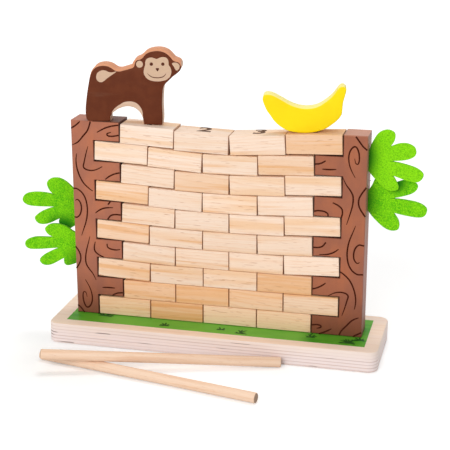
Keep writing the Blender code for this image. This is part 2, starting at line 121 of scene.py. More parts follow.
# shader values and finishes
def maths(operation, swapped=False):
    # swapped is for a number on the left of its operator
    def made(self, other=None):
        values = [self] if other is None else [other, self] if swapped else [self, other]
        return self.finish.node("Math", {"operation": operation}, dict(enumerate(values)))
    return made


class Level:
    # a number on a surface, that Python's operators work on
    def __init__(self, finish, socket):
        self.finish = finish
        self.socket = socket

    __add__ = __radd__ = maths("ADD")
    __mul__ = __rmul__ = maths("MULTIPLY")
    __sub__, __rsub__ = maths("SUBTRACT"), maths("SUBTRACT", True)
    __truediv__, __rtruediv__ = maths("DIVIDE"), maths("DIVIDE", True)
    __gt__, __lt__ = maths("GREATER_THAN"), maths("LESS_THAN")
    most, least = maths("MAXIMUM"), maths("MINIMUM")
    __abs__, root, fraction = maths("ABSOLUTE"), maths("SQRT"), maths("FRACT")


shaderInputs = {"colour": "Base Color", "roughness": "Roughness", "specular": "Specular IOR Level",
                "metallic": "Metallic", "normal": "Normal"}


class Nodes:
    # makes the nodes of a material or of the world
    def __init__(self, tree):
        self.tree = tree

    def node(self, kind, settings=None, values=None, output=0):
        made = self.tree.nodes.new("ShaderNode" + kind)
        for key, setting in (settings or {}).items():
            if key == "stops":
                self.setStops(made.color_ramp, setting)
            else:
                setattr(made, key, setting)
        for key, value in (values or {}).items():
            self.feed(made.inputs[key], value)
        if isinstance(output, tuple):
            return [Level(self, made.outputs[each]) for each in output]
        return Level(self, made.outputs[output]) if made.outputs else None

    def setStops(self, ramp, stops):
        while len(ramp.elements) < len(stops):
            ramp.elements.new(0.5)
        for element, (place, value) in zip(ramp.elements, stops):
            element.position = place
            element.color = (value, value, value, 1)

    def feed(self, socket, value):
        if isinstance(value, Level):
            self.tree.links.new(value.socket, socket)
        elif socket.type == "RGBA" and len(value) == 3:
            socket.default_value = (*value, 1)
        else:
            socket.default_value = value

    def seen(self):
        # 1 for the camera's own rays, also by a mirror or through glass
        rays = self.node("LightPath", output=("Is Camera Ray", "Is Glossy Ray", "Is Transmission Ray"))
        return rays[0].most(rays[1]).most(rays[2])


class Finish(Nodes):
    # one material with its Principled shader
    def __init__(self, name, roughness=0.5, specular=0.2, metallic=0):
        self.material = bpy.data.materials.new(name)
        self.material.use_nodes = True
        super().__init__(self.material.node_tree)
        self.shader = self.tree.nodes["Principled BSDF"]
        self.set(roughness=roughness, specular=specular, metallic=metallic)

    def set(self, **values):
        for key, value in values.items():
            self.feed(self.shader.inputs[shaderInputs[key]], value)

    def where(self, centre=(0, 0, 0), turn=(0, 0, 0)):
        # object coordinates, centred and turned to a piece
        place = self.node("TexCoord", output="Object")
        return self.node("Mapping", {"vector_type": "TEXTURE"},
                         {"Vector": place, "Location": centre, "Rotation": turn})

    def shifted(self, where, shift):
        return self.node("VectorMath", {"operation": "ADD"}, {0: where, 1: shift})

    def facing(self):
        return self.axes(self.node("NewGeometry", output="Normal"))

    def axes(self, where):
        return self.node("SeparateXYZ", {}, {0: where}, (0, 1, 2))

    def noise(self, where, scale, detail=3, roughness=0.5, distortion=0):
        # with a scale for each axis, the pattern is stretched
        if isinstance(scale, tuple):
            where = self.node("Mapping", {"vector_type": "POINT"}, {"Vector": where, "Scale": scale})
            scale = 1
        return self.node("TexNoise", {}, {"Vector": where, "Scale": scale, "Detail": detail,
                                          "Roughness": roughness, "Distortion": distortion}, "Fac")

    def ramp(self, level, stops):
        # level becomes the stops' values, eased between them
        ramped = self.node("ValToRGB", {"stops": stops}, {0: level})
        ramped.socket.node.color_ramp.interpolation = "EASE"
        return self.node("SeparateColor", {}, {0: ramped})

    def range(self, level, low, high, start=0, end=1):
        # level from low to high becomes start to end, eased and held there
        return self.node("MapRange", {"interpolation_type": "SMOOTHSTEP"},
                         {0: level, 1: low, 2: high, 3: start, 4: end})

    def curve(self, level, points, low, high):
        # level from low[0] to high[0] becomes a height from low[1] to high[1] on a curve
        share = self.node("MapRange", {}, {0: level, 1: low[0], 2: high[0]})
        held = self.node("FloatCurve", {}, {"Factor": 1, "Value": share})
        line = held.socket.node.mapping.curves[0]
        places = [((x - low[0]) / (high[0] - low[0]), (z - low[1]) / (high[1] - low[1])) for x, z in points]
        for place in places[2:]:
            line.points.new(*place)
        for point, place in zip(line.points, places):
            point.location = place
        held.socket.node.mapping.update()
        return held * (high[1] - low[1]) + low[1]

    def blend(self, factor, first, second, kind="MIX"):
        return self.node("Mix", {"data_type": "RGBA", "blend_type": kind},
                         {0: factor, 6: first, 7: second}, 2)

    def wash(self, colour, level, low, high, most, over):
        # over laid on colour, from nothing where level is low to most where it is high
        return self.blend(self.range(level, low, high, 0, most), colour, over)

    def bump(self, height, depth, strength=1):
        values = {"Strength": strength, "Distance": depth, "Height": height}
        self.set(normal=self.node("Bump", {}, values, "Normal"))


def tint(red, green, blue):
    # a colour as the eye reads it on a screen, 0 to 255, as light
    def light(value):
        share = value / 255
        return share / 12.92 if share <= 0.04045 else ((share + 0.055) / 1.055) ** 2.4
    return (light(red), light(green), light(blue))


def makeFloor():
    bm = bmesh.new()
    bmesh.ops.create_grid(bm, x_segments=1, y_segments=1, size=studio["floorSize"] / 2)
    floor = linked("studioFloor", meshOf("studioFloor", bm))
    floor.location = (0, 0, studio["floorHeight"])
    white = Finish("floorWhite", roughness=0.9, specular=0)
    tone = studio["floorTone"]
    white.set(colour=(tone, tone, tone))
    x, y, _ = white.axes(white.where((*studio["glowFrom"], 0)))
    away = (x * x + y * y).root()
    level = sum(white.range(away, *glow) for glow in studio["glows"])
    glow = white.node("Emission", {}, {"Color": level, "Strength": white.seen()})
    both = white.node("AddShader", {}, {0: Level(white, white.shader.outputs[0]), 1: glow})
    white.feed(white.tree.nodes["Material Output"].inputs["Surface"], both)
    floor.data.materials.append(white.material)


def makeSky():
    world = bpy.data.worlds.new("studioSky")
    scene.world = world
    world.use_nodes = True
    world.node_tree.nodes.clear()
    sky = Nodes(world.node_tree)
    strength = studio["skyStrength"] + sky.seen() * (1 - studio["skyStrength"])
    light = sky.node("Background", {}, {"Color": (1, 1, 1), "Strength": strength})
    sky.node("OutputWorld", {}, {"Surface": light})


makeCamera()
makeSky()
makeFloor()
for lampName, lampValues in studio["lamps"].items():
    makeLamp(lampName, *lampValues)
scene.view_settings.view_transform = "Standard"
print("studio ready")


# shapes that several pieces share
def smoothRun(points, steps, closed=False):
    # points on a smooth curve through the given ones
    knots = [Vector(point) for point in points]
    count = len(knots)

    def knot(index):
        return knots[index % count] if closed else knots[max(0, min(count - 1, index))]

    run = []
    for i in range(count if closed else count - 1):
        before, start, end, after = knot(i - 1), knot(i), knot(i + 1), knot(i + 2)
        run.extend(interpolate_bezier(start, start + (end - before) / 6, end - (after - start) / 6,
                                      end, steps + 1)[:-1])
    return run if closed else run + [knots[-1]]


def metres(points):
    return [(x * mm, z * mm) for x, z in points]


def ringRun(centre, radius, steps=24):
    angles = [2 * pi * i / steps for i in range(steps)]
    return [(centre[0] + radius * cos(angle), centre[1] + radius * sin(angle)) for angle in angles]


def sawnBoard(outline, thickness, ease):
    # a board cut to an outline in X and Z, half its thickness before and behind Y = 0
    bm = bmesh.new()
    front = bm.faces.new([bm.verts.new((x, -thickness / 2, z)) for x, z in outline])
    pushed = bmesh.ops.extrude_face_region(bm, geom=[front])["geom"]
    bmesh.ops.translate(bm, verts=[v for v in pushed if isinstance(v, bmesh.types.BMVert)],
                        vec=(0, thickness, 0))
    if ease:
        rims = [edge for edge in bm.edges if abs(edge.verts[0].co.y - edge.verts[1].co.y) < 1e-7]
        bevelled(bm, rims, ease, 4, clamp=True)
    bmesh.ops.recalc_face_normals(bm, faces=bm.faces)
    return bm


def asPiece(name, bm, finish, body, stand=None, nodes=(), sharp=40):
    # its place goes into its mesh, and it rides on its body
    if stand is not None:
        bmesh.ops.transform(bm, matrix=stand, verts=bm.verts)
    mesh = meshOf(name, bm)
    mesh.shade_smooth()
    mesh.set_sharp_from_angle(angle=radians(sharp))
    piece = linked(name, mesh)
    mesh.materials.append(finish.material)
    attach(piece, body)
    if nodes:
        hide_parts(*nodes)
    return piece


def evaluatedMesh(thing):
    # what modifiers, a curve or a text make
    bpy.context.view_layer.update()
    made = bpy.data.meshes.new_from_object(thing.evaluated_get(bpy.context.evaluated_depsgraph_get()))
    bm = bmesh.new()
    bm.from_mesh(made)
    bpy.data.meshes.remove(made)
    bpy.data.objects.remove(thing)
    return bm


def nodeLine(node):
    # middle of a long node and the way that it points, to the right
    points = np.array([vertex.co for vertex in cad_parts[node].data.vertices], float)
    middle = (points.max(0) + points.min(0)) / 2
    way = np.linalg.svd(points - points.mean(0), full_matrices=False)[2][0]
    return Vector(middle), Vector(way if way[0] > 0 else -way)


def inkLines(lines, width, thick, stand):
    # flattened brush lines in X and Z, thin at their free ends
    data = bpy.data.curves.new("ink", "CURVE")
    data.dimensions = "3D"
    data.bevel_depth = width / 2
    data.bevel_resolution = 1
    data.use_fill_caps = True
    for points, startShare, endShare in lines:
        run = smoothRun(points, 5)
        spline = data.splines.new("POLY")
        spline.points.add(len(run) - 1)
        for i, (x, z) in enumerate(run):
            share = i / (len(run) - 1)
            swell = sin(pi * share) ** 0.6
            ends = startShare + (endShare - startShare) * share
            spline.points[i].co = (x, 0, z, 1)
            spline.points[i].radius = ends + (1 - ends) * swell
    bm = evaluatedMesh(linked("ink", data))
    bmesh.ops.scale(bm, vec=(1, 2 * thick / width, 1), verts=bm.verts)
    bmesh.ops.recalc_face_normals(bm, faces=bm.faces)
    bmesh.ops.transform(bm, matrix=stand, verts=bm.verts)
    return bm


def joined(parts):
    whole = bmesh.new()
    for part in parts:
        mesh = meshOf("part", part)
        whole.from_mesh(mesh)
        bpy.data.meshes.remove(mesh)
    return whole


# bricks
brick = {
    "size": (49.15 * mm, 24.8 * mm, 17.3 * mm),
    "ease": 0.65 * mm,
    "warp": 0.06 * mm,  # how far a sanded face wanders
    "spans": 6,  # that the length is cut into, to bend
    "rows": 10,
    "columns": 4,
    "rings": (1.9 * mm, 3.6 * mm),  # their least and most width
    "pith": (22 * mm, 75 * mm),  # how far off it is
    "wander": 5 * mm,  # of the rings
    "pale": tint(249, 226, 207),
    "warm": tint(243, 206, 170),
    "late": tint(234, 180, 128),
    "pore": tint(190, 128, 86),
    "low": (0.93, 0.78, 0.6),  # painted shade: what the lowest row's colours are multiplied by, darker and warmer
    "lower": (0.06, 0.2, 0.35),  # share of that painted shade per row down, its most, and more per row below the third
    # end faces darker: the end grain's own tone, and painted shade in the joints between the bricks
    "endGrain": tint(164, 102, 58),
    # bricks cut from warmer wood, by row and column, and how much warmer
    "warmer": {(10, 4): 0.6, (9, 4): 0.3, (8, 2): 0.3, (7, 1): 0.2, (5, 1): 0.25, (3, 1): 0.25,
               (3, 4): 0.45, (2, 1): 0.5, (2, 2): 0.4, (2, 3): 0.2, (1, 2): 0.3},
    "seed": 41,
}


def pineFinish(name, middle, tilt, seed, warmer, lowRowShade):
    # growth rings round a pith that lies outside the brick, orange bands and resin lines
    draw = Random(seed).uniform
    pine = Finish(name, roughness=0.62)
    spot = pine.where(middle, (0, -tilt, 0))
    x, y, z = pine.axes(spot)
    shift = pine.shifted(spot, [draw(0, 9) for _ in range(3)])
    wander = pine.noise(shift, (14, 60, 60), detail=2) - 0.5
    pith = radians(draw(15, 165))
    reach = draw(*brick["pith"])
    slant = draw(-0.05, 0.05)
    across = y - reach * cos(pith) + x * slant + wander * brick["wander"]
    up = z + reach * sin(pith) + x * slant * 0.5 + wander * brick["wander"]
    away = (across * across + up * up).root()
    ring = (away / draw(*brick["rings"])).fraction()
    lateness = pine.ramp(ring, [(0, 0.15), (0.1, 0), (0.62, 0.12), (0.9, 1), (1, 0.25)])
    streak = pine.noise(shift, (30, 600, 1000), roughness=0.6)
    broad = pine.noise(shift, (7, 60, 130), detail=1)
    band = pine.noise(shift, (9, 60, 260), detail=2)
    dash = pine.noise(shift, (95, 900, 1100), detail=1)
    start = draw(0.28, 0.4) if warmer else draw(0.4, 0.52)
    colour = pine.wash(brick["pale"], broad, start, start + 0.28, 0.95, brick["warm"])
    colour = pine.blend(lateness * draw(0.1, 0.3), colour, brick["late"])
    colour = pine.blend(warmer, colour, brick["late"])
    start = 0.5 if warmer else draw(0.54, 0.64)
    colour = pine.wash(colour, band, start, start + 0.16, 0.75, brick["late"])
    colour = pine.wash(colour, streak, 0.5, 0.76, 0.45, brick["late"])
    dashes = pine.range(dash, 0.64, 0.73)
    colour = pine.blend(dashes * draw(0.25, 0.6), colour, brick["pore"])
    # end faces darker: end grain, and painted shade in the joints
    colour = pine.wash(colour, abs(pine.facing()[0]), 0.4, 0.9, 0.45, brick["endGrain"])
    shade = draw(0.96, 1.03)
    # painted shade: the lower the row, the darker and warmer, on top of a random tone
    hue = draw(-0.12, 0.12) + lowRowShade
    colour = pine.blend(1, colour, [shade * (1 - hue * (1 - part)) for part in brick["low"]], "MULTIPLY")
    pine.set(colour=colour, roughness=pine.range(streak, 0.2, 0.8, 0.55, 0.7))
    pine.bump(lateness * 0.5 + streak * 0.5, 0.00006, 0.5)
    return pine


def makeBrick(row, column):
    node = f"brick_r{row:02d}_c{column}"
    middle, way = nodeLine(node)
    tilt = atan2(way.z, way.x)
    seed = brick["seed"] + row * 10 + column
    draw = Random(seed).uniform
    bm = block(brick["size"])
    bevelled(bm, list(bm.edges), brick["ease"] * draw(0.8, 1.25), 3)
    for step in range(1, brick["spans"]):
        bmesh.ops.bisect_plane(bm, geom=[*bm.verts, *bm.edges, *bm.faces], plane_no=(1, 0, 0),
                               plane_co=((step / brick["spans"] - 0.5) * brick["size"][0], 0, 0))
    half = Vector(brick["size"]) / 2
    lean = [draw(-1, 1) * brick["warp"] for _ in range(6)]
    for vertex in bm.verts:
        share = Vector([part / whole for part, whole in zip(vertex.co, half)])
        bow = 1 - share.x ** 2
        vertex.co.y -= share.y * abs(lean[0]) * bow + abs(lean[1]) * share.y * abs(share.z)
        vertex.co.z -= share.z * abs(lean[2]) * bow
        vertex.co.x -= share.x * abs(lean[3]) * (1 + share.z * lean[4] / brick["warp"]) / 2
    stand = Matrix.Translation(middle) @ Matrix.Rotation(-tilt, 4, "Y")
    # painted shade by row, darker towards the bottom of the wall
    step, most, last = brick["lower"]
    lowRowShade = min(most, step * (brick["rows"] - row)) + last * max(0, 3 - row)
    warmer = brick["warmer"].get((row, column), 0)
    finish = pineFinish(f"pine_{row:02d}_{column}", middle, tilt, seed, warmer, lowRowShade)
    asPiece(f"pineBrick_r{row:02d}_c{column}", bm, finish, node, stand, [node], sharp=60)
    return node, stand


numbers = {
    "height": 15 * mm,
    "share": 0.72,  # of the font's size that a digit is high
    "width": 1.2,  # share that the digits are widened
    "bold": 0.7 * mm,
    "back": 2.5 * mm,  # behind the middle of the brick
    "thick": 0.05 * mm,
    "colour": tint(66, 38, 32),
    "slips": {"4": (-3 * mm, 1.5 * mm)},  # of a digit, to the right and back
}


def inkFinish(name, colour, specular, grain, low, high, worn, below):
    # ink in which what is below it shows in specks
    ink = Finish(name, roughness=0.7, specular=specular)
    ink.set(colour=ink.wash(colour, ink.noise(ink.where(), grain, detail=2), low, high, worn, below))
    return ink


def makeNumber(digit, stand, body, ink):
    data = bpy.data.curves.new("digit", "FONT")
    data.body = digit
    data.align_x = data.align_y = "CENTER"
    data.size = numbers["height"] / numbers["share"]
    data.extrude = numbers["thick"]
    data.offset = numbers["bold"]
    data.resolution_u = 6
    bm = evaluatedMesh(linked("digit", data))
    bmesh.ops.remove_doubles(bm, verts=bm.verts, dist=1e-6)
    bmesh.ops.scale(bm, vec=(numbers["width"], 1, 1), verts=bm.verts)
    slip = numbers["slips"].get(digit, (0, 0))
    top = Matrix.Translation((slip[0], numbers["back"] + slip[1], brick["size"][2] / 2))
    asPiece("number" + digit, bm, ink, body, stand @ top)


inkBrown = inkFinish("numberInk", numbers["colour"], 0.05, 2500, 0.4, 0.75, 0.35, brick["warm"])
for rowNumber in range(1, brick["rows"] + 1):
    for columnNumber in range(1, brick["columns"] + 1):
        brickNode, brickStand = makeBrick(rowNumber, columnNumber)
        if rowNumber == brick["rows"]:
            makeNumber(str(columnNumber), brickStand, brickNode, inkBrown)
print("bricks laid")


# trunks, with their printed bark
trunk = {
    "brown": tint(182, 112, 82),
    "orange": tint(188, 110, 76),
    "grey": tint(166, 104, 82),
    "notch": tint(66, 24, 8),  # painted shade on the sawn faces that the bricks lie between, also in the gap at the foot
    "notchShadeReach": (0.15 * mm, 0.8 * mm),  # how far the painted shade reaches round the notches' edges, full and at all
    "side": tint(162, 114, 103),  # painted reflection of the white surroundings, greyish pink on the sides
    # painted highlight on the tops where light falls from above, the left one less, in the monkey's shade
    "top": tint(214, 166, 146),
    "topLightShare": {"left_trunk": 0.1, "right_trunk": 0.55},
    "foot": (0.54, 0.5, 0.48),  # painted shade: what the colours are multiplied by at the foot
    "footShadeHeight": 54 * mm,
    "right": (0.87, 0.83, 0.77),  # painted shade: what the right trunk's colours are multiplied by, as less light falls on it
    "footGapShade": 0.8 * mm,  # how high the painted shade in the gap at the board is, in front
    "line": tint(62, 22, 12),
    "lineWidth": 1.65 * mm,
    "lineThick": 0.07 * mm,
    "lineMargin": 0.1 * mm,  # that is left to the wood's edge
    "wide": 0.75,  # with more of its width at an end, a line is run on over the wood's edge
    "runOn": 0.5 * mm,  # by this
    "runOnSteps": 10,  # and so often where its end is near the outer side or the foot
    "near": 1 * mm,
    "spine": 20.9 * mm,
    "toothLength": 24.275 * mm,
    "notchHeight": 18.9 * mm,
    "toothPitch": 36.7 * mm,
    "slip": (2.6 * mm, 1.2 * mm, 4.2 * mm),  # of the right print: aside at its foot and top, and down
}

# bark lines on the left trunk, in mm from its inner upright and its foot, each
# with the share of its width that it keeps at its start and at its end
barkLines = [
    ([(-20.6, 176), (-16.5, 178.6), (-12, 182.6)], 1, 0.5),
    ([(-2.2, 183), (-5.1, 175), (-9.9, 169), (-14.8, 163.5), (-20.4, 160.5)], 1, 0.3),
    ([(3.4, 173.3), (10.8, 177.5), (17.4, 179.8), (23.8, 181)], 0.3, 0.9),
    ([(16.9, 174.2), (13.3, 172.8), (13.6, 171), (17.8, 170.6), (23.8, 171.8)], 0.3, 0.9),
    ([(-5.3, 160.2), (-7.5, 153), (-9.5, 145.1), (-10.3, 141.1), (-8.4, 138.9), (-3.8, 137.9),
     (1.6, 138.9), (7.7, 142.2)], 0.25, 0.4),
    ([(-16.2, 153.1), (-17.1, 147.2), (-16.7, 140.7), (-14.6, 133), (-10.9, 126), (-5.7, 121),
     (-2.1, 118.7)], 0.25, 0.35),
    ([(23.7, 137.4), (18.1, 135.7), (13.4, 133.1), (10, 130.3)], 0.9, 0.4),
    ([(-20.6, 120), (-17.2, 119.9), (-12.6, 116.6), (-9.4, 110.9), (-8, 103), (-8.4, 95.2), (-9.8, 88.7),
     (-11.9, 82.7), (-14.5, 75.4)], 1, 0.25),
    ([(-19.3, 108.7), (-16.9, 109.7), (-14.3, 106.5), (-13.7, 101.2), (-15.1, 95.8), (-18, 92.9),
     (-20.6, 93)], 0.3, 0.9),
    ([(14, 109.6), (11.8, 106.7)], 1, 0.4),
    ([(-0.5, 97.9), (3.7, 101.2), (9.1, 103.5), (16.8, 104.4)], 0.3, 0.3),
    ([(11.3, 93), (14.2, 96.6), (18.3, 97.9), (23.7, 97.9)], 0.9, 0.9),
    ([(-20.6, 64.5), (-17.7, 60.2), (-16.2, 55.8), (-16.4, 51.2), (-18.2, 47.1), (-20.4, 43.6)], 1, 0.8),
    ([(-6.4, 75.4), (-8.6, 67.5), (-10.5, 60.2), (-11.4, 53.6), (-10.9, 48.4), (-8.5, 44), (-4.7, 39),
     (-1.8, 33)], 0.25, 0.3),
    ([(-1.4, 70.6), (-2.5, 65.4), (-2, 61.5), (1.1, 58.5), (5.8, 56.3)], 0.3, 0.8),
    ([(9.9, 68.9), (10.3, 66.4), (13, 64.7), (18.1, 64.1), (22.5, 64.9)], 0.8, 0.3),
    ([(-12.5, 32.8), (-9.7, 28), (-7.3, 22.3), (-6.2, 15.7), (-7.1, 9.7), (-9.9, 5.8), (-12.5, 6),
     (-14.6, 10.3), (-15.3, 16.2), (-14.5, 20.3), (-12.3, 19.8), (-11.3, 15.6)], 0.25, 0.25),
    ([(4, 26.3), (10.2, 26.8), (16.4, 26.7)], 0.3, 0.3),
    ([(13.9, 19.5), (18.2, 21.9), (23.7, 22.8)], 0.8, 0.9),
    ([(-20.6, 7), (-17.8, 4.6), (-14.6, 0.5)], 1, 1),
]


def barkFinish(node, centre, turn):
    # in the left trunk's place, to which the right one is turned
    paint = Finish("barkPaint_" + node)
    spot = paint.where(centre, turn)
    blotch = paint.noise(spot, (60, 60, 38))
    grain = paint.noise(spot, (420, 420, 36), detail=4, roughness=0.6)
    speck = paint.noise(spot, 1400, detail=2)
    colour = paint.wash(trunk["grey"], blotch, 0.35, 0.66, 1, trunk["brown"])
    colour = paint.wash(colour, blotch, 0.55, 0.78, 0.5, trunk["orange"])
    colour = paint.wash(colour, grain, 0.35, 0.75, 0.25, trunk["grey"])
    colour = paint.wash(colour, speck, 0.55, 0.8, 0.14, trunk["line"])
    # painted shade: the right trunk darker, as less light falls on it
    if node == "right_trunk":
        colour = paint.blend(1, colour, trunk["right"], "MULTIPLY")
    facing = paint.facing()
    # painted reflection on the sides
    colour = paint.wash(colour, abs(facing[0]), 0.6, 0.85, 0.7, trunk["side"])
    x, _, z = paint.axes(spot)
    low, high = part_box("left_trunk")
    # painted shade in the notches and round their edges
    along = x - (low.x + trunk["spine"])
    up = ((z - low.z) / trunk["toothPitch"]).fraction() * trunk["toothPitch"]
    above = (up.most(trunk["notchHeight"]) - trunk["notchHeight"]).least(trunk["toothPitch"] - up)
    beside = (0 - along).most(above).least(trunk["toothLength"] - along)
    colour = paint.blend(paint.range(beside, *trunk["notchShadeReach"], 0.85, 0), colour, trunk["notch"])
    height = paint.axes(paint.where())[2]
    # painted highlight on the tops
    upward = paint.range(facing[2], 0.6, 0.9) * (height > high.z - 1 * mm)
    colour = paint.blend(upward * trunk["topLightShare"][node], colour, trunk["top"])
    # painted shade, darker towards the foot
    foot = paint.range(height, low.z, low.z + trunk["footShadeHeight"], 1, 0)
    colour = paint.blend(foot, colour, paint.blend(1, colour, trunk["foot"], "MULTIPLY"))
    # painted shade in the gap at the board, higher on the sides
    footGapShade = (1 + 1.5 * paint.range(abs(facing[0]), 0.6, 0.85)) * trunk["footGapShade"]
    footGapShade = paint.range(height - low.z, footGapShade * 0.5, footGapShade, 0.85, 0)
    colour = paint.blend(footGapShade, colour, trunk["notch"])
    paint.set(colour=colour, roughness=paint.range(grain, 0.3, 0.8, 0.44, 0.56))
    paint.bump(grain * 0.8 + speck * 0.2, 0.00005, 0.5)
    return paint


def dressNode(node, finish):
    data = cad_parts[node].data
    data.materials.clear()
    data.materials.append(finish.material)


def onTrunk(x, z, height):
    # whether a point, from the inner upright and the foot, lies on the comb's face
    edge = trunk["lineMargin"]
    if not edge < z < height - edge or x < -trunk["spine"] + edge or x > trunk["toothLength"] - edge:
        return False
    return x < -edge or z % trunk["toothPitch"] > trunk["notchHeight"] + edge


def ranOn(run):
    end = run[-1]
    way = (end - run[-3]).normalized()
    outer = end.x < trunk["near"] - trunk["spine"] or end.y < trunk["near"]
    count = trunk["runOnSteps"] if outer else 1
    return run + [end + way * step * trunk["runOn"] for step in range(1, count + 1)]


def clipped(lines, height, slip):
    # the lines moved by a slip of the print, and cut where the wood ends
    kept = []
    for points, start, end in lines:
        run = smoothRun(points, 16)
        if start > trunk["wide"]:
            run = ranOn(run[::-1])[::-1]
        if end > trunk["wide"]:
            run = ranOn(run)
        moved = [(x + (slip[0] + (slip[1] - slip[0]) * (1 - z / height)), z - slip[2]) for x, z in run]
        piece = []
        for i, point in enumerate(moved + [None]):
            if point and onTrunk(*point, height):
                piece.append(point)
                continue
            if len(piece) > 5:
                first, last = i == len(piece), point is None
                kept.append((piece, start if first else 1, end if last else 1))
            piece = []
    return kept


def makeTrunks():
    ink = inkFinish("barkLineInk", trunk["line"], 0.02, 1800, 0.5, 0.8, 0.25, trunk["brown"])
    low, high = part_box("left_trunk")
    height = high.z - low.z
    lines = [(metres(points), start, end) for points, start, end in barkLines]
    sides = [Matrix.Translation((low.x + trunk["spine"], y, low.z)) for y in (low.y, high.y)]
    foot, top, down = trunk["slip"]
    # each trunk with its rise, its turn about Y and the slip of its print
    for node, rise, angle, slip in (("left_trunk", 0, 0, (0, 0, 0)),
                                    ("right_trunk", low.z + high.z, pi, (foot, top, -down))):
        dressNode(node, barkFinish(node, (0, 0, rise), (0, angle, 0)))
        turn = Matrix.Translation((0, 0, rise)) @ Matrix.Rotation(angle, 4, "Y")
        parts = [inkLines(clipped(lines, height, slip), trunk["lineWidth"], trunk["lineThick"], turn @ side)
                 for side in sides]
        asPiece("barkLines_" + node.split("_")[0], joined(parts), ink, "stand")


makeTrunks()
print("trunks printed")


# base board
base = {
    "corner": 9 * mm,
    "ease": 1.5 * mm,
    "plies": 13,
    "waver": 0.6 * mm,
    "veneer": tint(250, 224, 202),
    "grain": tint(240, 206, 178),
    "longPly": tint(244, 228, 224),
    "crossPly": tint(216, 194, 190),
    "upper": (0.97, 0.93, 0.8),  # what the upper plies' colours are multiplied by
    "gap": tint(108, 84, 78),
    "screwHead": 4.1 * mm,
    "screwBore": 8 * mm,
}

screwNodes = ["screw_left_front", "screw_left_back", "screw_right_front", "screw_right_back"]


def plywoodFinish(thick):
    ply = Finish("birchPlywood", roughness=0.55)
    spot = ply.where()
    z = ply.axes(spot)[2]
    flat = ply.range(abs(ply.facing()[2]), 0.7, 0.86)
    figure = ply.noise(spot, (14, 260, 260), detail=5, roughness=0.6)
    cloud = ply.noise(spot, (6, 45, 45), detail=2)
    veneer = ply.wash(base["veneer"], figure, 0.42, 0.78, 0.8, base["grain"])
    veneer = ply.wash(veneer, cloud, 0.45, 0.8, 0.35, base["longPly"])
    waver = ply.noise(spot, (9, 9, 0)) - 0.5
    layer = (z + waver * base["waver"]) * (base["plies"] / thick)
    dark = ply.range(abs((layer * 0.5).fraction() - 0.5), 0.06, 0.22, 1, 0)
    dark = dark * ply.range(layer, base["plies"] - 2.6, base["plies"] - 1.2, 1, 0.25)
    endGrain = ply.noise(spot, (500, 500, 700))
    longGrain = ply.noise(spot, (18, 18, 600))
    cross = ply.wash(base["crossPly"], endGrain, 0.35, 0.75, 0.35, base["grain"])
    along = ply.wash(base["longPly"], longGrain, 0.5, 0.8, 0.35, base["veneer"])
    patches = ply.range(ply.noise(spot, (5, 5, 260), detail=2), 0.38, 0.6, 0.2, 1)
    edge = ply.blend(dark * patches, along, cross)
    gap = ply.range(ply.noise(spot, (30, 30, 330), detail=1), 0.65, 0.7)
    edge = ply.blend(gap * dark * 0.8, edge, base["gap"])
    edge = ply.wash(edge, z, thick * 0.4, thick, 0.5, ply.blend(1, edge, base["upper"], "MULTIPLY"))
    ply.set(colour=ply.blend(flat, edge, veneer), roughness=ply.range(figure, 0.2, 0.8, 0.48, 0.62))
    ply.bump(figure * flat + (1 - dark) * (1 - flat), 0.00008, 0.5)
    return ply


grass = {
    "low": (-136.8 * mm, -31.95 * mm),
    "high": (138.5 * mm, 31.45 * mm),
    "thick": 0.08 * mm,
    "green": tint(96, 168, 44),
    "deep": tint(54, 146, 28),
    "bright": tint(127, 197, 74),  # painted reflection of the pale wall, on the grass before it
    "middle": -8 * mm,
    "wallReflectionFrom": 84 * mm,  # the painted reflection's reach away from the middle, and how far it fades in
    "brightOver": 14 * mm,
    "tuft": tint(28, 82, 24),
    "seed": 7,
    "fan": (-8, 188),  # degrees between which the blades point
    "blade": 1.9 * mm,
    "bladeThick": 0.05 * mm,
    # middles of the tufts before the wall, their widths and how many blades each has
    "tufts": [(-105, -16, 18, 9), (-45, -26, 11, 7), (7.2, -23.4, 9, 6), (26.2, -27.6, 13, 7),
              (89, -21.3, 12, 7), (122.4, -27.2, 17, 11), (131.8, -18.4, 11, 7)],
}


def greenFinish(name, first, second, bright):
    paint = Finish(name, roughness=0.55, specular=0.15)
    spot = paint.where()
    cloud = paint.noise(spot, (30, 60, 60))
    grain = paint.noise(spot, (20, 500, 500))
    colour = paint.wash(first, cloud, 0.35, 0.7, 1, second)
    # painted reflection of the pale wall, near the middle
    away = abs(paint.axes(spot)[0] - grass["middle"]) - grass["wallReflectionFrom"]
    colour = paint.blend(paint.range(away, 0, grass["brightOver"], bright, 0), colour, grass["bright"])
    colour = paint.wash(colour, grain, 0.6, 0.85, 0.2, base["veneer"])
    paint.set(colour=colour, roughness=paint.range(grain, 0.3, 0.8, 0.42, 0.55))
    paint.bump(grain, 0.00004, 0.4)
    return paint


def makeBase():
    low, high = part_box("base_board")
    size = high - low
    bm = block(size)
    uprights = [edge for edge in bm.edges if abs(edge.verts[0].co.z - edge.verts[1].co.z) > size.z / 2]
    bevelled(bm, uprights, base["corner"], 10)
    rims = [edge for edge in bm.edges if len(edge.link_faces) == 2
            and {round(abs(face.normal.z)) for face in edge.link_faces} == {0, 1}]
    bevelled(bm, rims, base["ease"], 4)
    bmesh.ops.translate(bm, verts=bm.verts, vec=(low + high) / 2)
    board = linked("board", meshOf("board", bm))
    holes = bmesh.new()
    for screw in screwNodes:
        screwLow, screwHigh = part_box(screw)
        x, y, _ = (screwLow + screwHigh) / 2
        bmesh.ops.create_cone(holes, cap_ends=True, segments=32, radius1=base["screwHead"],
                              radius2=base["screwHead"], depth=base["screwBore"],
                              matrix=Matrix.Translation((x, y, 0)))
    cutter = linked("holes", meshOf("holes", holes))
    drill = board.modifiers.new("screw holes", "BOOLEAN")
    drill.object = cutter
    drill.operation = "DIFFERENCE"
    bored = evaluatedMesh(board)
    bpy.data.objects.remove(cutter)
    asPiece("plywoodBoard", bored, plywoodFinish(size.z), "stand", None, ["base_board"], 50)
    return high.z


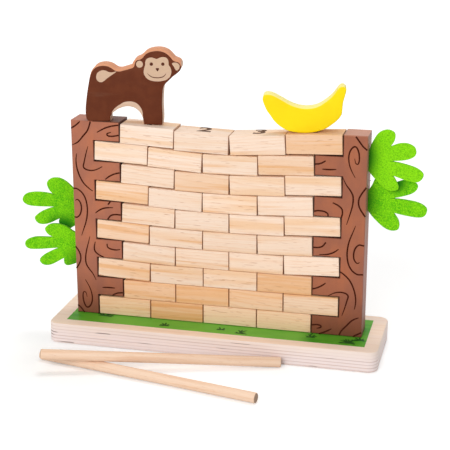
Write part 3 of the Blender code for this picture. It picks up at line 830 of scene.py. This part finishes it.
def makeGrass(top):
    low, high = Vector(grass["low"]), Vector(grass["high"])
    bm = block((*(high - low), 2 * grass["thick"]))
    bmesh.ops.translate(bm, verts=bm.verts, vec=(*(high + low) / 2, top))
    asPiece("grassPrint", bm, greenFinish("grassGreen", grass["green"], grass["deep"], 0.6),
            "stand")
    draw = Random(grass["seed"]).uniform
    first, last = grass["fan"]
    lines = []
    for x, y, width, blades in grass["tufts"]:
        for i in range(blades):
            angle = radians(first + (last - first) * i / (blades - 1) + draw(-8, 8))
            reach = width / 2 * (0.9 + 0.5 * sin(angle) ** 2) * draw(0.8, 1.15)
            bend = draw(-0.3, 0.3)
            blade = [(0, angle), (reach / 2, angle + bend), (reach, angle)]
            lines.append(([((x + away * cos(way)) * mm, (y + away * sin(way)) * mm)
                           for away, way in blade], 0.9, 0.1))
    lay = Matrix.Translation((0, 0, top + grass["thick"])) @ Matrix.Rotation(radians(-90), 4, "X")
    bm = inkLines(lines, grass["blade"], grass["bladeThick"], lay)
    asPiece("grassTufts", bm, greenFinish("tuftGreen", grass["tuft"], grass["tuft"], 0), "stand")


boardTop = makeBase()
makeGrass(boardTop)


steel = {
    "dull": tint(188, 188, 184),
    "bright": tint(214, 212, 206),
    "roughness": (0.28, 0.42),
}


def steelFinish():
    zinc = Finish("zincSteel", specular=0.5, metallic=1)
    cloud = zinc.noise(zinc.where(), 900)
    zinc.set(colour=zinc.blend(cloud, steel["dull"], steel["bright"]),
             roughness=zinc.range(cloud, 0.3, 0.7, *steel["roughness"]))
    return zinc


screwSteel = steelFinish()
for screwNode in screwNodes:
    dressNode(screwNode, screwSteel)
print("base board ready")


# felt leaves
felt = {
    "lime": tint(148, 232, 18),
    "green": tint(76, 184, 4),
    "deep": tint(22, 116, 2),
    # painted shade by leaf, near the trunks and below the leaf in front: x, z, reaches and depth
    "shades": {"leaf_left_upper": [(-150, 98, 22, 16, 1), (-128, 112, 60, 50, 0.15)],
               "leaf_left_lower": [(-132, 66, 20, 22, 0.55), (-126, 50, 34, 34, 0.5)],
               "leaf_right_upper": [(129, 183, 18, 34, 1)],
               "leaf_right_lower": [(157, 160, 15, 12, 0.95), (129, 144, 20, 28, 0.85)]},
    "paintedLeafLight": {"leaf_right_upper": 0.6},  # painted light: how much brighter a leaf is painted
    "sheen": {"Weight": 0.18, "Roughness": 0.5, "Tint": (0.75, 1, 0.45)},
    "ease": 1 * mm,
    "curl": 1.6 * mm,  # how far the finger tips bend to the front
    "curlFrom": 0.2,  # share of the length that stays flat
}


def feltFinish(node):
    cloth = Finish("limeFelt_" + node, roughness=0.95, specular=0.15)
    spot = cloth.where()
    for key, value in felt["sheen"].items():
        cloth.feed(cloth.shader.inputs["Sheen " + key], value)
    tangle = cloth.noise(spot, 900, detail=4, roughness=0.7)
    twist = cloth.noise(spot, 460, detail=4, distortion=2.5)
    cloud = cloth.noise(spot, 110, detail=2)
    colour = cloth.blend(cloth.range(cloud, 0.35, 0.7, 0.1, 0.5), felt["green"], felt["lime"])
    colour = cloth.wash(colour, twist, 0.42, 0.6, 0.9, felt["lime"])
    # painted light: a leaf painted brighter
    colour = cloth.blend(felt["paintedLeafLight"].get(node, 0), colour, felt["lime"])
    colour = cloth.blend(cloth.range(tangle, 0.36, 0.52, 0.45, 0), colour, felt["deep"])
    x, _, z = cloth.axes(spot)
    # painted shade near the trunks and below the leaf in front
    for atX, atZ, wide, tall, depth in felt["shades"][node]:
        across, up = (x - atX * mm) / (wide * mm), (z - atZ * mm) / (tall * mm)
        away = (across * across + up * up).root()
        colour = cloth.blend(cloth.range(away, 0.15, 1, depth, 0), colour, felt["deep"])
    cloth.set(colour=colour)
    cloth.bump(twist * 0.6 + tangle * 0.4, 0.0006, 0.8)
    return cloth


def makeLeaf(node):
    side = -1 if "left" in node else 1
    bm = bmesh.new()
    bm.from_mesh(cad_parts[node].data)
    bmesh.ops.remove_doubles(bm, verts=bm.verts, dist=1e-6)
    bmesh.ops.dissolve_limit(bm, angle_limit=radians(0.5), verts=bm.verts, edges=bm.edges,
                             use_dissolve_boundaries=False)
    low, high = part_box(node)
    flat = (high.x - low.x, high.z - low.z)
    faces = [face for face in bm.faces if abs(face.normal.y) > 0.9]
    area = sum(face.calc_area() for face in faces) / 2
    rims = [edge for edge in bm.edges if sum(face in faces for face in edge.link_faces) == 1]
    bevelled(bm, rims, felt["ease"], 3, clamp=True)
    bmesh.ops.triangulate(bm, faces=[face for face in bm.faces if len(face.verts) > 4])
    edge = low.x if side > 0 else high.x
    for vertex in bm.verts:
        share = (vertex.co.x - edge) * side / flat[0]
        share = max(0, share - felt["curlFrom"]) / (1 - felt["curlFrom"])
        vertex.co.y -= felt["curl"] * share * share
    piece = asPiece("felt_" + node, bm, feltFinish(node), "stand", nodes=[node], sharp=60)


for leafName in felt["shades"]:
    makeLeaf(leafName)
print("leaves cut")


# monkey
monkey = {
    "place": (-117.177 * mm, -6.5215 * mm, 203.3 * mm),
    "turn": (0, 0, radians(10)),
    "thickness": 16 * mm,
    "ease": 1 * mm,
    "paint": tint(96, 44, 22),
    "paintRed": tint(104, 50, 26),
    "wood": tint(220, 190, 168),
    "woodDark": tint(208, 172, 144),
    "topWood": tint(222, 152, 116),  # of the rim where it faces up: the sawn edge's warmer tone, partly painted light from above
    "dipWood": tint(214, 140, 92),
    "face": tint(209, 176, 150),
    "faceDark": tint(214, 182, 150),
    "ink": tint(74, 36, 26),
    "paleThick": 0.06 * mm,
    "markThick": 0.12 * mm,
    "printSoft": 0.12 * mm,  # of the dark print's edge
    "printRim": (0.95 * mm, 0.8 * mm),  # where the print ends on the eased edge
    "printLow": (-2.5 * mm, -15 * mm),  # what its edges' curves are drawn in
    "printHigh": (84.5 * mm, 64 * mm),
    "smileWidth": 0.95 * mm,
    "smileEnds": (0.45, 0.45),
    "smileThick": 0.132 * mm,
    "specular": 0.12,
    "feet": [(66, -2.9), (49.7, -2.2)],  # the front foot's, sawn to the brick below it
    "eyes": [(57.4, 51.5), (67.5, 51.6)],
    "eyeRadius": 1.5,
    "nearEar": (47, 51.3),
    "nearEarRadius": 3,
}

# the outline from the heel over the tail, the back and the head down to the front foot, and
# back through the arch below the belly, in mm
monkeyBack = [
    (-0.8, 0.8), (-1.7, 3.5), (-2, 8.5), (-1.6, 14.7), (0, 25.7), (2.1, 36.6), (3.2, 41.2), (4.6, 45),
    (6.6, 47.8), (9.1, 49.7), (12.4, 50.7), (15.9, 51), (19.5, 50.5), (22.3, 49.3), (24.7, 47.7),
    (26.8, 46.6), (29.3, 46.3), (31.7, 46.8), (36.8, 48.4), (40.6, 49.8)]
monkeyHead = [
    (41, 52.2), (42.3, 54.6), (44.3, 56.3), (47, 57.4), (49.2, 59), (51.4, 61.2), (54.3, 63.1),
    (58, 64.2), (63.1, 64.7), (67.6, 64.1), (71.3, 62.5), (74.1, 60.2), (76, 58), (77.5, 56.5),
    (79.2, 55.6), (81.2, 54.9), (82.8, 53.4), (83.6, 51.4), (83.7, 49.3), (83, 47.1), (81.5, 45),
    (79.1, 42.9), (76, 40.5), (71.7, 36.4), (69.5, 34.2), (68, 32.2), (67.2, 29.5), (66.7, 25.2),
    (66.2, 17), (66.4, 8.7), (66.5, 3.2), (66.3, -0.2)]
monkeyArch = [
    (49.3, 0.2), (48.8, 3), (47.9, 5.7), (45.9, 9), (43.2, 11.4), (40.6, 12.8), (37.2, 13.5),
    (33.8, 13.4), (30.4, 12.5), (26.9, 11), (24.1, 9.1), (21.6, 7), (20.2, 4.8), (19.8, 2.5)]

# how high the dark print reaches along the monkey, and where it ends above the arch
printTop = [
    (-2.5, 12), (-1.6, 14.7), (0, 25.7), (2.2, 36.6), (3.4, 40.7), (5, 44.4), (7, 46.8), (9.4, 48.4),
    (12.5, 49.3), (15.8, 49.5), (19.2, 49), (21.8, 47.8), (24.2, 46.2), (26.5, 45), (29.2, 44.7),
    (31.9, 45.3), (37.3, 46.8), (41.7, 48.6), (42.8, 51.3), (43.3, 53), (44.2, 54.2), (45.6, 54.9),
    (47.6, 55.4), (50, 57.1), (52.4, 59.8), (55.1, 61.5), (58.4, 62.5), (63.1, 63), (67.1, 62.4),
    (70.4, 61), (73.1, 58.8), (75.2, 56.5), (76.7, 54.8), (78.4, 54), (80.7, 53.4), (82.3, 52.1),
    (83.2, 50.1), (84.5, 49)]
printArch = [
    (-2.5, -15), (20.3, -15), (20.8, 3), (21.6, 8.1), (22.8, 10.2), (25.6, 13), (29.1, 15.4),
    (32.5, 17.3), (36.6, 18.1), (40.7, 17.8), (44, 16.3), (46.7, 13.6), (48.3, 10.5), (48.9, 7.8),
    (49.1, 5), (49.4, 2.3), (49.8, -0.5), (50.4, -15), (84.5, -15)]

# patches that are left pale, the smile and the nose
monkeyFace = [
    (50.6, 45), (50.8, 42.6), (52.3, 39.9), (54.6, 37.9), (58, 36.7), (62.7, 36.3), (67.4, 36.9),
    (70.8, 38.1), (73.5, 40.5), (74.7, 43.6), (74.8, 46.3), (73.9, 48.9), (72.6, 51), (72.5, 53.3),
    (72, 55.6), (70.4, 57.3), (67.7, 57.8), (65.4, 57.4), (63.3, 56.5), (61.7, 56.1), (59.7, 56.8),
    (57.7, 57.3), (55, 56.8), (52.9, 55.4), (52.1, 53.1), (52, 50.7), (51.1, 48)]
monkeyTail = [
    (8.7, 38), (8.7, 40.8), (9.7, 43.1), (12, 44.9), (15, 45.6), (17.7, 45.1), (19.7, 44.1), (21.7, 43.8),
    (23.8, 44), (26.5, 44.7), (25.1, 43.3), (21.6, 40.9), (18.2, 38.5), (15.4, 36.1), (13, 35),
    (10.3, 35.7)]
monkeyFarEar = [
    (75.6, 52.3), (77, 53), (79.2, 53), (81, 52.1), (82.1, 50.6), (82, 48.6), (81, 46.9), (79.6, 46.1),
    (78.3, 47.1), (77.3, 49.2), (76.1, 50.9)]
monkeySmile = [
    (53.7, 43.5), (55.4, 41.7), (58, 40.1), (62.7, 39.5), (66.8, 40.2), (69.1, 41.8), (70.3, 43.5)]
monkeyNose = [(61.3, 47.8), (62.7, 48.1), (64.1, 47.8), (63.8, 46.5), (62.7, 45.2), (61.6, 46.5)]


def monkeyOutline():
    upper = smoothRun(monkeyBack, 3) + smoothRun(monkeyHead, 3)
    return metres([(0.6, 0)] + upper + monkey["feet"] + smoothRun(monkeyArch, 3) + [(20, 0)])


def bareWood(name, pale, dark, centre, turn, seed, along):
    wood = Finish(name, roughness=0.6)
    spot = wood.where(centre, turn)
    shift = wood.shifted(spot, (seed * 0.37, seed * 0.53, seed * 0.71))
    streak = wood.noise(shift, along, detail=4, roughness=0.6)
    wide = wood.noise(shift, tuple(part / 5 for part in along), detail=2)
    colour = wood.wash(pale, streak, 0.4, 0.78, 0.75, dark)
    colour = wood.wash(colour, wide, 0.45, 0.8, 0.4, dark)
    return wood, spot, colour, streak


def monkeyFinish():
    wood, spot, bare, streak = bareWood("monkeyWood", monkey["wood"], monkey["woodDark"], monkey["place"],
                                        monkey["turn"], 3, (26, 420, 160))
    x, y, z = wood.axes(spot)
    upward = wood.facing()[2]
    facing = wood.range(abs(y), *(monkey["thickness"] / 2 - rim for rim in monkey["printRim"]))
    low, high, soft = monkey["printLow"], monkey["printHigh"], monkey["printSoft"]
    above = wood.curve(x, metres(printTop), low, high)
    below = wood.curve(x, metres(printArch), low, high)
    # warmer where it faces up and on the strip above the print: the sawn edge's tone, partly painted light
    # from above
    upper = wood.range(upward, 0.15, 0.7).most(facing * wood.range(z - above, -soft, soft))
    bare = wood.blend(upper * 0.85, bare, wood.blend(streak, monkey["topWood"], monkey["dipWood"]))
    printed = facing * wood.range(above - z, -soft, soft) * wood.range(z - below, -soft, soft)
    cloud = wood.noise(spot, 120)
    paint = wood.wash(monkey["paint"], cloud, 0.35, 0.7, 1, monkey["paintRed"])
    paint = wood.wash(paint, streak, 0.55, 0.85, 0.05, monkey["woodDark"])
    wood.set(colour=wood.blend(printed, bare, paint), roughness=0.6 - printed * 0.1,
             specular=monkey["specular"])
    wood.bump(streak, 0.00005, 0.5)
    return wood


def inkShape(outline, thick):
    # a printed patch, thick before and behind Y = 0
    return sawnBoard(metres(outline), 2 * thick, 0)


def makeMonkey():
    stand = Matrix.LocRotScale(monkey["place"], Euler(monkey["turn"]), None)
    asPiece("monkeyBody", sawnBoard(monkeyOutline(), monkey["thickness"], monkey["ease"]), monkeyFinish(),
            "monkey", stand, ["monkey"], sharp=50)
    wood, _, colour, streak = bareWood("monkeyFaceWood", monkey["face"], monkey["faceDark"],
                                       monkey["place"], monkey["turn"], 5, (40, 500, 300))
    wood.set(colour=colour)
    wood.bump(streak, 0.00004, 0.4)
    ink = Finish("monkeyInk", specular=0.15)
    ink.set(colour=ink.blend(ink.noise(ink.where(), 900), monkey["ink"], monkey["paint"]))
    pale, mark = monkey["paleThick"], monkey["markThick"]
    for side, way in (("front", -1), ("back", 1)):
        push = stand @ Matrix.Translation((0, way * monkey["thickness"] / 2, 0))
        patches = [inkShape(smoothRun(patch, 4, closed=True), pale)
                   for patch in (monkeyFace, monkeyTail, monkeyFarEar)]
        patches.append(inkShape(ringRun(monkey["nearEar"], monkey["nearEarRadius"]), pale))
        asPiece("monkeyPale_" + side, joined(patches), wood, "monkey", push)
        marks = [inkShape(ringRun(middle, monkey["eyeRadius"]), mark) for middle in monkey["eyes"]]
        marks.append(inkShape(smoothRun(monkeyNose, 3, closed=True), mark))
        marks.append(inkLines([(metres(monkeySmile), *monkey["smileEnds"])], monkey["smileWidth"],
                              monkey["smileThick"], Matrix()))
        asPiece("monkeyMarks_" + side, joined(marks), ink, "monkey", push)


makeMonkey()
print("monkey painted")


# banana
banana = {
    "place": (77.417 * mm, 0, 201.57 * mm),
    "turn": (0, -0.042392, radians(9)),
    "thickness": 15 * mm,
    "ease": 1 * mm,
    "yellow": tint(253, 225, 12),
    "deep": tint(252, 220, 10),
    "light": tint(255, 243, 150),  # painted highlight on the rim where it faces up
}

bananaOutline = [
    (0, 0), (-8.5, 0.8), (-15, 2.4), (-19.1, 4.5), (-23.3, 7.7), (-26.8, 11.4), (-29.6, 15.8),
    (-32.5, 20.1), (-34.4, 24.5), (-36, 30), (-34.7, 33.9), (-31, 34.7), (-25.9, 33.1), (-18.3, 28.6),
    (-14.2, 26.1), (-9.4, 23.8), (-4.8, 22.3), (-0.2, 21.6), (4.5, 21.6), (9.2, 22.4), (13.4, 24.1),
    (17.5, 26.7), (21.7, 29.9), (25.3, 33.5), (29.1, 38.4), (32.4, 39.9), (35.2, 37.6), (34.8, 33.6),
    (32.6, 26.4), (31.8, 20.5), (30.9, 15), (27, 10.2), (21, 5.6), (16.5, 3.1), (8.5, 0.7)]


def bananaFinish():
    paint = Finish("bananaYellow", roughness=0.45, specular=0.15)
    spot = paint.where(banana["place"], banana["turn"])
    cloud = paint.noise(spot, 45)
    grain = paint.noise(spot, (40, 600, 300))
    upward = paint.facing()[2]
    colour = paint.wash(banana["yellow"], cloud, 0.38, 0.68, 1, banana["deep"])
    # painted highlight where it faces up
    colour = paint.wash(colour, upward, 0.35, 0.8, 0.8, banana["light"])
    paint.set(colour=colour, roughness=paint.range(grain, 0.3, 0.8, 0.34, 0.46))
    paint.bump(grain, 0.00005, 0.4)
    return paint


def makeBanana():
    outline = metres(smoothRun(bananaOutline, 3, closed=True))
    stand = Matrix.LocRotScale(banana["place"], Euler(banana["turn"]), None)
    asPiece("bananaBody", sawnBoard(outline, banana["thickness"], banana["ease"]), bananaFinish(),
            "banana", stand, ["banana"], sharp=50)


makeBanana()


# push sticks
stick = {
    "radius": 4.5 * mm,
    "length": 209.5 * mm,
    "ease": 1.2 * mm,
    "pale": tint(240, 209, 183),
    "dark": tint(226, 182, 146),
    "end": tint(160, 130, 108),
    "endBand": (0.6 * mm, 0.2 * mm),  # from an end, where its dark starts and where it is full
    "fleck": tint(190, 128, 84),
}


def makeStick(node, seed):
    middle, way = nodeLine(node)
    turn = way.to_track_quat("X", "Z").to_matrix().to_4x4()
    bm = bmesh.new()
    bmesh.ops.create_cone(bm, cap_ends=True, segments=40, radius1=stick["radius"], radius2=stick["radius"],
                          depth=stick["length"])
    rims = [edge for edge in bm.edges if abs(edge.verts[0].co.z - edge.verts[1].co.z) < 1e-7]
    bevelled(bm, rims, stick["ease"], 4)
    bmesh.ops.rotate(bm, verts=bm.verts, cent=(0, 0, 0), matrix=Matrix.Rotation(radians(90), 3, "Y"))
    wood, spot, colour, streak = bareWood("beech_" + node, stick["pale"], stick["dark"], middle,
                                          tuple(turn.to_euler()), seed, (16, 420, 420))
    fleck = wood.noise(spot, (180, 2200, 2200), detail=2)
    colour = wood.wash(colour, fleck, 0.62, 0.78, 0.5, stick["fleck"])
    away = abs(wood.axes(spot)[0])
    ends = wood.range(away, *(stick["length"] / 2 - part for part in stick["endBand"]))
    wood.set(colour=wood.blend(ends, colour, stick["end"]),
             roughness=wood.range(streak, 0.3, 0.8, 0.5, 0.65))
    wood.bump(streak * 0.6 + fleck * 0.4, 0.00008, 0.5)
    asPiece("beech_" + node, bm, wood, node, Matrix.Translation(middle) @ turn, [node], sharp=50)


makeStick("lower_push_stick", 2)
makeStick("upper_push_stick", 9)
print("banana and sticks ready")
